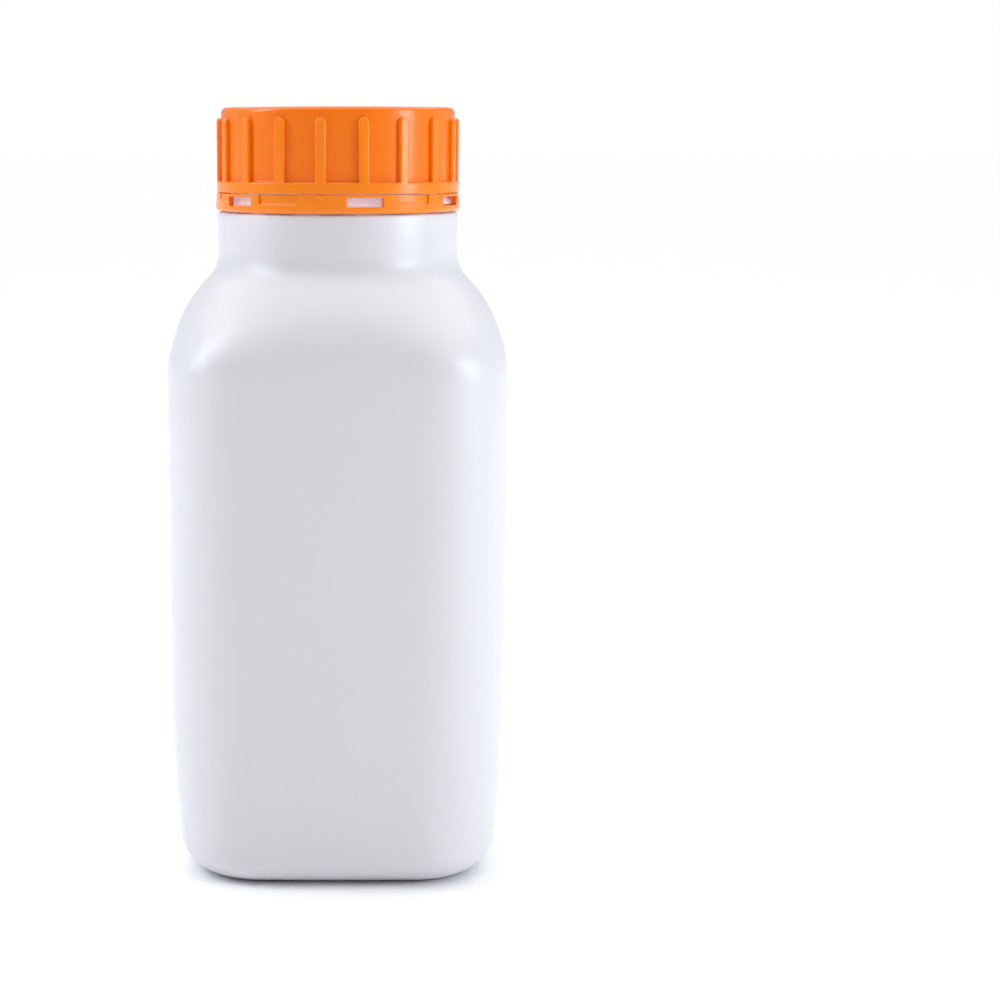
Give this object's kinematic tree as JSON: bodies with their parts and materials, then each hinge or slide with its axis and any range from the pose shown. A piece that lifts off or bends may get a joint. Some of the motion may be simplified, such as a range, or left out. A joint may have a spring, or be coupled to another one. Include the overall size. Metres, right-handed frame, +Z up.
{
  "type": "square screw-cap media bottle",
  "caption": "Square upright plastic bottle with domed shoulder, round collar, ribbed orange screw cap and a windowed tamper-evident band.",
  "frame": {"origin": "centre of the base, on the plane the bottle stands on", "axes": "+Z up the bottle's axis, -Y out of the flat front side, X across the front"},
  "size_m": [0.088, 0.088, 0.1987],
  "materials": {
    "bottle_hdpe": "satin, faintly translucent, blow-moulded",
    "cap_pp": "semi-gloss, injection-moulded",
    "band_pp": "semi-gloss, injection-moulded with the cap"
  },
  "bodies": {
    "bottle": {"bottle": "bottle_hdpe"},
    "band": {"tamper_band": "band_pp"},
    "cap": {"screw_cap": "cap_pp"}
  },
  "joints": [
    {"name": "cap_turn", "type": "hinge", "parent": "bottle", "child": "band", "pos_m": [0, 0, 0.18], "axis": [0, 0, 1], "range_deg": [0, 1800]},
    {"name": "cap_rise", "type": "slide", "parent": "band", "child": "cap", "axis": [0, 0, 1], "range_m": [0, 0.0251]}
  ],
  "couplings": [
    {"joint": "cap_rise", "follows": "cap_turn", "m_per_rad": 0.00079577}
  ]
}
